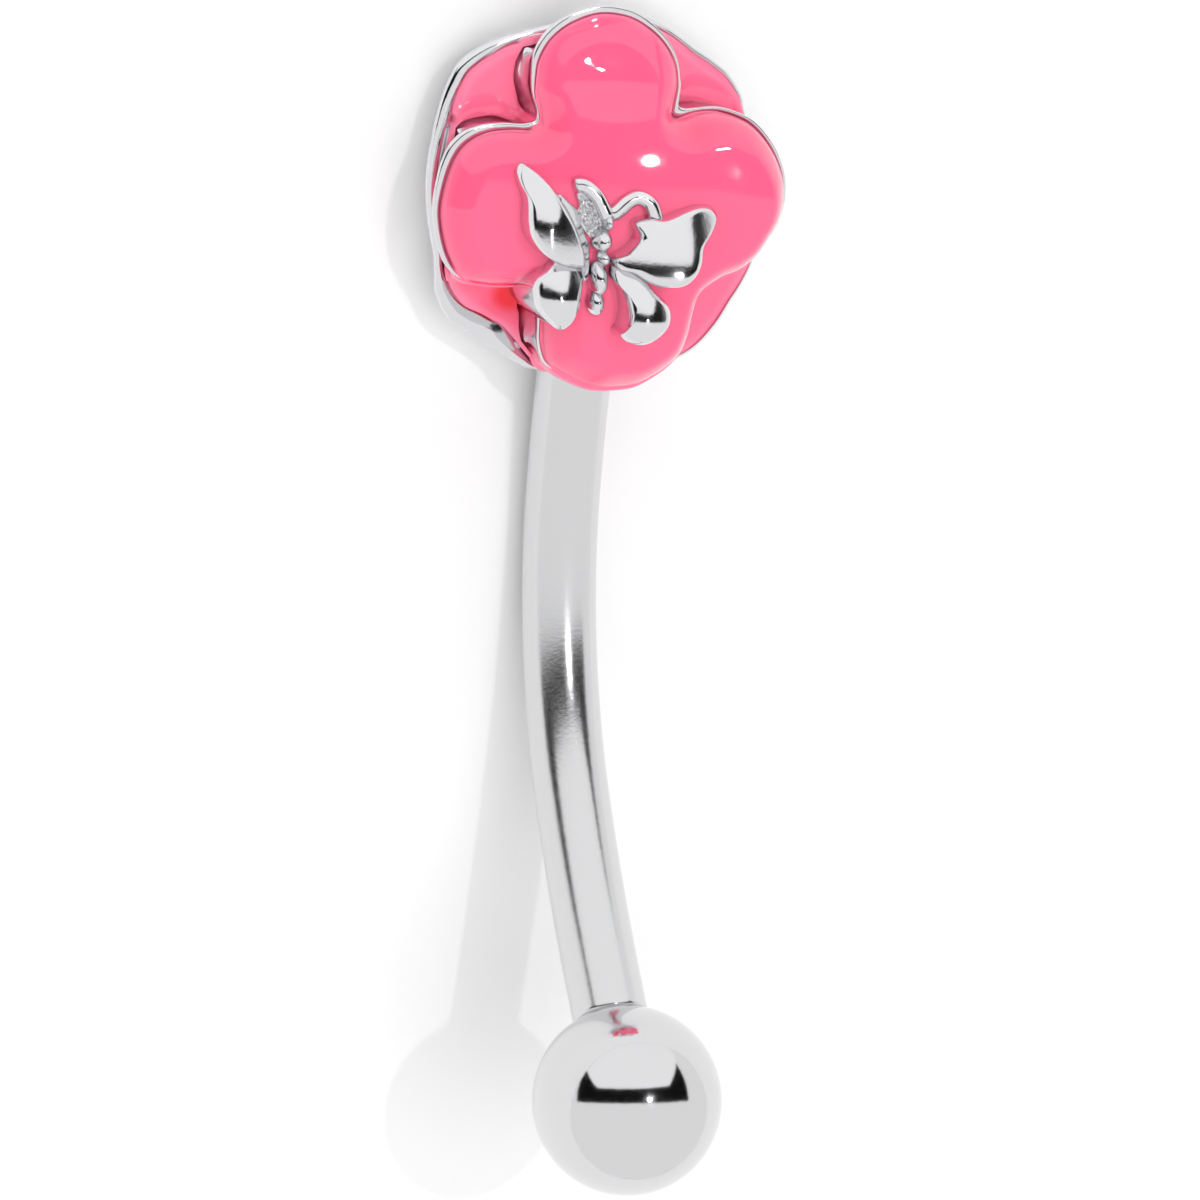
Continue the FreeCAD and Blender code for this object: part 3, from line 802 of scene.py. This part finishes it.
class BARBELL_OT_enamel(bpy.types.Operator):
    """Glossy enamel over the front petals and in the back petals"""

    bl_idname = "barbell.enamel"
    bl_label = "Enamel"

    def execute(self, context):
        settings = context.scene.barbell_flower
        flower = Flower(settings)
        profile = densify(enamel_profile(flower), PROFILE_STEPS)
        for rz in profile[:DOME_RINGS]:
            rz[..., 1] = flower.surface(*flower.xy(rz[..., 0]))
        under = [rz + np.array([-0.03, -ENAMEL_THICKNESS]) for rz in profile[::-PROFILE_STEPS]]
        rings = flower.rings(profile + under)
        hidden = 0.3
        depths = enamel_depth_and_shade(flower, profile) + [np.full_like(flower.front, hidden)] * len(under)
        crown = float(flower.surface(0.0, 0.0)[0])
        obj = finish_mesh("enamel", *skin(rings, on_axis(crown), on_axis(crown - ENAMEL_THICKNESS)))
        values = np.concatenate(depths + [[depths[0].mean(), hidden]])
        attribute = obj.data.attributes.new("depth", "FLOAT", "POINT")
        attribute.data.foreach_set("value", values)
        obj.data.materials.append(
            enamel_material(settings.thin_colour, settings.enamel_colour, settings.pool_and_shade_colour))
        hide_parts("enamel_front", "enamel_upper_right", "enamel_upper_left", "enamel_lower_left",
                    "enamel_lower_right")
        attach(obj, "barbell")
        return {"FINISHED"}


# Butterfly: outlines on the flower, in millimetres from its axis

UPPER_LEFT_WING = (
    (-1.59, 0.71), (-1.42, 0.62), (-1.20, 0.41), (-1.01, 0.15), (-0.81, -0.25), (-0.65, -0.79),
    (-0.91, -0.80), (-1.15, -0.75), (-1.40, -0.59), (-1.56, -0.38), (-1.60, -0.14), (-1.59, 0.18),
    (-1.67, 0.43), (-1.68, 0.60),
)
UPPER_LEFT_WEB = (
    (-1.10, 0.30), (-0.90, 0.16), (-0.73, 0.01), (-0.68, -0.18), (-0.60, -0.38), (-0.54, -0.52),
    (-0.57, -0.80), (-0.62, -1.00), (-0.70, -1.02), (-0.74, -0.81), (-0.89, -0.32), (-1.07, 0.09),
)
UPPER_RIGHT_WING = (
    (-0.25, -0.66), (-0.04, -0.54), (0.14, -0.34), (0.10, -0.12), (0.32, -0.04), (0.56, -0.05),
    (0.86, 0.06), (1.15, 0.14), (1.38, 0.12), (1.49, -0.02), (1.38, -0.22), (1.18, -0.44), (1.10, -0.68),
    (0.96, -0.89), (0.74, -1.03), (0.46, -1.05), (0.24, -0.99), (0.02, -0.86), (-0.22, -0.80),
)
LOWER_LEFT_WING = (
    (-1.08, -0.70), (-0.86, -0.76), (-0.64, -0.82), (-0.68, -1.03), (-0.74, -1.26), (-0.79, -1.52),
    (-0.87, -1.72), (-1.04, -1.81), (-1.24, -1.69), (-1.43, -1.47), (-1.48, -1.21), (-1.44, -1.03),
    (-1.27, -0.88),
)
LOWER_RIGHT_WING = (
    (-0.22, -0.76), (-0.02, -0.82), (0.21, -0.95), (0.38, -1.15), (0.56, -1.30), (0.63, -1.50),
    (0.54, -1.74), (0.26, -1.94), (-0.01, -1.95), (-0.16, -1.84), (-0.09, -1.69), (-0.06, -1.42),
    (-0.12, -1.15), (-0.24, -0.98),
)
# Each wing: outline, the point that faces the lamp, and how it falls away right, left, up and down from
# there, each as a slope and the reach over which it steepens
WINGS = (
    (UPPER_LEFT_WING, (-1.30, -0.22), (0.48, 0.20), (0.85, 0.25), (0.36, 0.30), (0.15, 0.50)),
    (UPPER_RIGHT_WING, (0.70, -0.84), (0.50, 0.35), (0.35, 0.60), (0.26, 0.26), (0.6, 0.50)),
    (LOWER_LEFT_WING, (-1.12, -1.28), (0.48, 0.18), (0.85, 0.20), (0.35, 0.25), (0.8, 0.35)),
    (LOWER_RIGHT_WING, (0.17, -1.56), (0.50, 0.20), (0.80, 0.20), (0.35, 0.25), (0.8, 0.35)),
)
# Beads of the body: place, half width, half length, height and turn in degrees
BODY_BEADS = (
    (-0.28, -0.14, 0.09, 0.14, 0.28, 0),
    (-0.37, -0.42, 0.16, 0.20, 0.36, -20),
    (-0.36, -0.68, 0.12, 0.15, 0.33, 0),
    (-0.42, -1.00, 0.16, 0.30, 0.34, 4),
    (-0.44, -1.38, 0.15, 0.24, 0.28, 0),
)
LEFT_ANTENNA = ((-0.25, -0.13), (-0.33, 0.04), (-0.43, 0.23), (-0.55, 0.35), (-0.68, 0.41), (-0.80, 0.39))
RIGHT_ANTENNA = (
    (-0.25, -0.08), (-0.09, 0.05), (0.06, 0.18), (0.22, 0.24), (0.38, 0.17), (0.46, 0.04), (0.50, -0.20),
)
ROUGH_PATCH = (
    (-0.76, 0.27), (-0.62, 0.32), (-0.45, 0.15), (-0.36, -0.07), (-0.36, -0.28), (-0.47, -0.42),
    (-0.62, -0.31), (-0.76, -0.05), (-0.72, 0.10),
)
# Slopes, to the right and up, of a surface that shows the lamp to the camera
LAMP_SLOPE = (0.117, -0.272)
# The web and the rough patch: height over the enamel, past the wings' own lift, and slopes right and up
WEB_LIFT, WEB_LEAN = 0.17, (-0.55, -0.35)
PATCH_LIFT, PATCH_LEAN = 0.05, (0.0, -0.15)
# How round the edges are
WING_ROLL = 0.11
WEB_ROLL = 0.05
PATCH_ROLL = 0.03
ROLL_STEPS = 8
CURVE_STEPS = 8
# How deep every part of the butterfly reaches into the enamel, and lumps in a millimetre of the patch
ROOT = 0.3
LUMPS = 22
BEAD_SIDES = 36
TUBE_SIDES = 20


def curve_piece(a, b, c, d):
    """Points from b towards c, on a smooth curve that passes all four."""
    t = np.linspace(0, 1, CURVE_STEPS, endpoint=False)[:, None]
    bend = (2 * a - 5 * b + 4 * c - d) * t ** 2
    return 0.5 * (2 * b + (c - a) * t + bend + (3 * b - a - 3 * c + d) * t ** 3)


def closed_curve(outline):
    """A smooth closed line through the outline's points, anticlockwise."""
    points = np.array(outline)
    around = [np.roll(points, -n, 0) for n in (-1, 0, 1, 2)]
    result = np.vstack([curve_piece(*four) for four in zip(*around)])
    after = np.roll(result, -1, 0)
    area = (result[:, 0] * after[:, 1] - after[:, 0] * result[:, 1]).sum()
    return result if area > 0 else result[::-1]


def open_curve(route):
    """A smooth line through the route's points, from its first to its last."""
    points = np.array(route)
    padded = np.vstack([2 * points[0] - points[1], points, 2 * points[-1] - points[-2]])
    pieces = [curve_piece(*padded[k - 1:k + 3]) for k in range(1, len(padded) - 2)]
    return np.vstack([*pieces, points[-1:]])


def placed(points):
    """Points on the flower, in millimetres from its axis, in the part's own frame."""
    return (np.array(points) + (AXIS_X, AXIS_Y, 0)) * MM


def soft_fall(distance, slope, reach):
    """A fall that starts flat and settles to a steady slope past its reach."""
    return slope * reach * np.log(np.cosh(distance / reach))


def wing(flower, lift, outline, facing, right, left, above, below):
    """A puffed wing standing in the enamel, curved about the point that faces the lamp."""
    edge = closed_curve(outline)

    def shape(xy):
        dx, dy = xy[..., 0] - facing[0], xy[..., 1] - facing[1]
        z = LAMP_SLOPE[0] * dx + LAMP_SLOPE[1] * dy
        z = z - soft_fall(np.maximum(dx, 0), *right) - soft_fall(np.minimum(dx, 0), *left)
        return z - soft_fall(np.maximum(dy, 0), *above) - soft_fall(np.minimum(dy, 0), *below)

    enamel = flower.surface(edge[:, 0], edge[:, 1])
    base = (enamel + lift + WING_ROLL - shape(edge)).max()
    return pillow(flower, edge, lambda xy: base + shape(xy), WING_ROLL, 20)


def pillow(flower, edge, height, roll, inner, roughness=0.0):
    """A closed form over an outline: buried walls, a rolled edge and a top of the given height."""
    centre = edge.mean(0)
    reach = np.linalg.norm(edge - centre, axis=1, keepdims=True)
    enamel = flower.surface(edge[:, 0], edge[:, 1])
    rings = [np.column_stack([edge, enamel - ROOT]), np.column_stack([edge, enamel - 0.02])]
    for k in range(ROLL_STEPS):
        angle = 0.5 * math.pi * k / ROLL_STEPS
        xy = centre + (edge - centre) * (1 - np.minimum(roll / reach, 0.6) * (1 - math.cos(angle)))
        rings.append(np.column_stack([xy, height(xy) - roll * (1 - math.sin(angle))]))
    last = rings[-1][:, :2]
    for k in range(1, inner + 1):
        xy = centre + (last - centre) * (1 - k / (inner + 0.5))
        z = height(xy)
        if roughness:
            z = z + [roughness * noise.noise(Vector((x * LUMPS, y * LUMPS, 0))) for x, y in xy]
        rings.append(np.column_stack([xy, z]))
    low = placed([*centre, flower.surface(*centre)[0] - ROOT])
    return skin([placed(ring) for ring in rings], low, placed([*centre, height(centre)]))


def plate(flower, outline, lift, lean, roll, inner, roughness=0.0):
    """A flat form over an outline, leaning by the given slopes."""
    edge = closed_curve(outline)
    mean = edge.mean(0)
    level = flower.surface(*mean)[0] + lift

    def height(xy):
        return level + (xy[..., 0] - mean[0]) * lean[0] + (xy[..., 1] - mean[1]) * lean[1]

    return pillow(flower, edge, height, roll, inner, roughness)


def bead(flower, x, y, width, length, height, turn):
    """A rounded lump of the body."""
    middle = np.array([x, y, float(flower.surface(x, y)[0])])
    a = math.radians(turn)
    way = np.linspace(0, 2 * math.pi, BEAD_SIDES, endpoint=False)
    rings = []
    for lift in np.radians(np.linspace(-80, 80, 17)):
        u, v = width * np.cos(way) * math.cos(lift), length * np.sin(way) * math.cos(lift)
        east, north = u * math.cos(a) - v * math.sin(a), u * math.sin(a) + v * math.cos(a)
        up = height * math.sin(lift) + LAMP_SLOPE[1] * north
        rings.append(placed(middle + np.column_stack([east, north, up])))
    return skin(rings, placed(middle - (0, 0, height)), placed(middle + (0, 0, height)))


def tube(flower, route, width):
    """A rounded strand lying on the enamel along a route, with closed round ends."""
    line = open_curve(route)
    z = flower.surface(line[:, 0], line[:, 1]) + width * 0.35
    points = np.column_stack([line, z])
    rings = []
    total = len(points)
    for k in range(total):
        back, ahead = points[max(k - 1, 0)], points[min(k + 1, total - 1)]
        along = (ahead - back) / np.linalg.norm(ahead - back)
        side = np.cross(along, (0, 0, 1))
        side /= np.linalg.norm(side)
        up = np.cross(side, along)
        near = min(k, total - 1 - k) / 4
        girth = width / 2 * (1 if near >= 1 else math.sqrt(1 - (1 - near) ** 2) * 0.999 + 0.001)
        ring = [points[k] + (side * math.cos(a) + up * math.sin(a)) * girth
                for a in np.linspace(0, 2 * math.pi, TUBE_SIDES, endpoint=False)]
        rings.append(placed(ring))
    return skin(rings, placed(points[0]), placed(points[-1]))


class BARBELL_OT_butterfly(bpy.types.Operator):
    """Raised butterfly: four wings, body and antennae"""

    bl_idname = "barbell.butterfly"
    bl_label = "Butterfly"

    def execute(self, context):
        settings = context.scene.barbell_butterfly
        flower = Flower(context.scene.barbell_flower)
        lift = settings.wing_lift / MM
        shells = [wing(flower, lift, *row) for row in WINGS]
        shells.append(plate(flower, UPPER_LEFT_WEB, lift + WEB_LIFT, WEB_LEAN, WEB_ROLL, 10))
        shells += [bead(flower, *row) for row in BODY_BEADS]
        width = settings.antenna_width / MM
        shells += [tube(flower, route, width) for route in (LEFT_ANTENNA, RIGHT_ANTENNA)]
        pitting = settings.pitting / MM
        shells.append(plate(flower, ROUGH_PATCH, lift + PATCH_LIFT, PATCH_LEAN, PATCH_ROLL, 30, pitting))
        obj = finish_mesh("butterfly", *join_shells(shells))
        obj.data.materials.append(metal("butterfly_plating", context.scene.barbell_flower.metal_colour))
        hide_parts("flower")
        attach(obj, "barbell")
        return {"FINISHED"}


# Stage

# Where the small lamp is, as shares of the picture's right, its up and the way to the camera
LAMP_WAY = (0.4586, 0.0837, 0.8847)
# How far from that way the lamp reaches, and the width over which it fades
LAMP_EDGE = (0.011, 0.004)
# The dark room, in degrees across the picture and up from the way to the camera: its sides, its foot and
# its top, which is level over the middle and falls away past the half width
ROOM_SIDES = (-64, 79.5)
ROOM_FOOT = 0.5
ROOM_TOP = 18
ROOM_MIDDLE = 7.6
ROOM_HALF_WIDTH = 46.4
ROOM_FALL = 0.77
# The softbox stands on the room's top, between these shares of the picture's right
SOFTBOX_SIDES = (-0.72, 0.80)
UNBOUNDED = 400
FLOOR_HALF = 0.6
OVERHEAD_HEIGHT = 0.6
OVERHEAD_SIZE = 0.5


def world_tree(settings):
    """White tent with a softbox above the camera, a dark room behind it and one small lamp beside it."""
    world = bpy.data.worlds.new("studio")
    world.use_nodes = True
    nodes, links = world.node_tree.nodes, world.node_tree.links
    nodes.clear()
    coords = nodes.new("ShaderNodeTexCoord")
    output = nodes.new("ShaderNodeOutputWorld")
    background = nodes.new("ShaderNodeBackground")
    links.new(background.outputs["Background"], output.inputs["Surface"])

    def along(vector):
        node = nodes.new("ShaderNodeVectorMath")
        node.operation = "DOT_PRODUCT"
        node.inputs[1].default_value = vector
        links.new(coords.outputs["Generated"], node.inputs[0])
        return node.outputs["Value"]

    def feed(socket, value):
        if isinstance(value, (int, float)):
            socket.default_value = value
        else:
            links.new(value, socket)

    def maths(operation, *values):
        node = nodes.new("ShaderNodeMath")
        node.operation = operation
        for socket, value in zip(node.inputs, values):
            feed(socket, value)
        return node.outputs["Value"]

    def mix(factor, first, second):
        node = nodes.new("ShaderNodeMix")
        node.data_type = "FLOAT"
        for name, value in (("Factor", factor), ("A", first), ("B", second)):
            feed(node.inputs[name], value)
        return node.outputs["Result"]

    def fade(value, start, end, first, last):
        """From the first to the last number, smoothly, as the value goes from start to end."""
        node = nodes.new("ShaderNodeMapRange")
        node.interpolation_type = "SMOOTHSTEP"
        links.new(value, node.inputs["Value"])
        for name, number in (("From Min", start), ("From Max", end), ("To Min", first), ("To Max", last)):
            node.inputs[name].default_value = number
        return node.outputs["Result"]

    def band(value, low, high, soft):
        """1 between low and high, fading to 0 over the soft width at both."""
        rising = fade(value, low - soft, low + soft, 0.0, 1.0)
        return maths("MULTIPLY", rising, fade(value, high - soft, high + soft, 1.0, 0.0))

    right, up, towards = along(PICTURE_RIGHT), along(PICTURE_UP), along(TOWARDS_CAMERA)
    azimuth = maths("MULTIPLY", maths("ARCTAN2", right, towards), 180 / math.pi)
    elevation = maths("MULTIPLY", maths("ARCSINE", up), 180 / math.pi)
    across = maths("ABSOLUTE", maths("SUBTRACT", azimuth, ROOM_MIDDLE))
    aside = maths("MAXIMUM", maths("SUBTRACT", across, ROOM_HALF_WIDTH), 0.0)
    over = maths("SUBTRACT", elevation, maths("MULTIPLY", aside, ROOM_FALL))
    dark = maths("MULTIPLY", band(azimuth, *ROOM_SIDES, 1.5), band(over, -UNBOUNDED, ROOM_TOP, 1.0))
    dark = maths("MULTIPLY", dark, band(elevation, ROOM_FOOT, UNBOUNDED, 1.0))
    box = maths("MULTIPLY", band(right, *SOFTBOX_SIDES, 0.03), band(towards, 0.0, 2.0, 0.05))
    box = maths("MULTIPLY", box, band(over, ROOM_TOP, UNBOUNDED, 1.0))
    offset = nodes.new("ShaderNodeVectorMath")
    offset.operation = "DISTANCE"
    picture = Matrix((PICTURE_RIGHT, PICTURE_UP, TOWARDS_CAMERA)).transposed()
    offset.inputs[1].default_value = picture @ Vector(LAMP_WAY)
    links.new(coords.outputs["Generated"], offset.inputs[0])
    lamp = band(offset.outputs["Value"], -1, *LAMP_EDGE)
    strength = mix(dark, settings.tent, settings.dark)
    strength = mix(box, strength, settings.softbox)
    links.new(mix(lamp, strength, settings.flash), background.inputs["Strength"])
    return world


class BARBELL_OT_stage(bpy.types.Operator):
    """Plain pale floor, studio surroundings and the camera"""

    bl_idname = "barbell.stage"
    bl_label = "Stage"

    def execute(self, context):
        scene = context.scene
        settings = scene.barbell_studio
        mesh = bpy.data.meshes.new("floor")
        corners = [(x * FLOOR_HALF, y * FLOOR_HALF, 0) for x, y in ((-1, -1), (1, -1), (1, 1), (-1, 1))]
        mesh.from_pydata(corners, [], [(0, 1, 2, 3)])
        floor = add_object("floor", mesh)
        material, _, _, shader = new_material("pale_floor")
        shader.inputs["Base Color"].default_value = (*settings.floor_colour, 1)
        shader.inputs["Roughness"].default_value = 0.8
        shader.inputs["Specular IOR Level"].default_value = 0.1
        mesh.materials.append(material)
        scene.world = world_tree(settings)

        fill = bpy.data.lights.new("overhead", "AREA")
        fill.shape = "DISK"
        fill.size = OVERHEAD_SIZE
        fill.energy = settings.overhead
        overhead = add_object("overhead", fill)
        overhead.location = (0, 0, OVERHEAD_HEIGHT)
        overhead.visible_glossy = False

        camera_data = bpy.data.cameras.new("camera")
        camera_data.sensor_width = 36.0
        camera_data.lens = LENS_MM
        camera_data.clip_start = 0.005
        camera_data.clip_end = 10.0
        camera = add_object("camera", camera_data)
        right, up, back = Vector(PICTURE_RIGHT), Vector(PICTURE_UP), Vector(TOWARDS_CAMERA)
        eye = (Vector(AIM) + back * CAMERA_DISTANCE) * MM
        back = (back * FOCAL_PX - right * AIM_OFFSET_PX[0] - up * AIM_OFFSET_PX[1]).normalized()
        right = up.cross(back).normalized()
        up = back.cross(right)
        turn = Matrix((right, up, back)).transposed()
        camera.matrix_world = Matrix.Translation(eye) @ turn.to_4x4()
        scene.camera = camera
        scene.view_settings.view_transform = "Standard"
        return {"FINISHED"}


class BARBELL_PT_panel(bpy.types.Panel):
    """Lists the pieces of the barbell"""

    bl_label = "Barbell"
    bl_idname = "BARBELL_PT_panel"
    bl_space_type = "VIEW_3D"
    bl_region_type = "UI"
    bl_category = "Barbell"

    def draw(self, context):
        for group, operator in (
            ("barbell_bar", "barbell.bar"), ("barbell_ball", "barbell.ball"),
            ("barbell_flower", "barbell.flower"), ("barbell_flower", "barbell.enamel"),
            ("barbell_butterfly", "barbell.butterfly"), ("barbell_studio", "barbell.stage"),
        ):
            box = self.layout.box()
            settings = getattr(context.scene, group)
            for name in settings.__annotations__:
                box.prop(settings, name)
            box.operator(operator)


SETTINGS = {
    "barbell_bar": BarSettings,
    "barbell_ball": BallSettings,
    "barbell_flower": FlowerSettings,
    "barbell_butterfly": ButterflySettings,
    "barbell_studio": StudioSettings,
}
OTHER_CLASSES = (
    BARBELL_OT_stage,
    BARBELL_OT_bar,
    BARBELL_OT_ball,
    BARBELL_OT_flower,
    BARBELL_OT_enamel,
    BARBELL_OT_butterfly,
    BARBELL_PT_panel,
)


def register():
    for name, settings in SETTINGS.items():
        bpy.utils.register_class(settings)
        setattr(bpy.types.Scene, name, bpy.props.PointerProperty(type=settings))
    for item in OTHER_CLASSES:
        bpy.utils.register_class(item)


def unregister():
    for item in reversed(OTHER_CLASSES):
        bpy.utils.unregister_class(item)
    for name, settings in SETTINGS.items():
        delattr(bpy.types.Scene, name)
        bpy.utils.unregister_class(settings)


def main():
    register()
    bpy.ops.barbell.stage()
    bpy.ops.barbell.bar()
    bpy.ops.barbell.ball()
    bpy.ops.barbell.flower()
    bpy.ops.barbell.enamel()
    bpy.ops.barbell.butterfly()


if __name__ == "__main__":
    main()
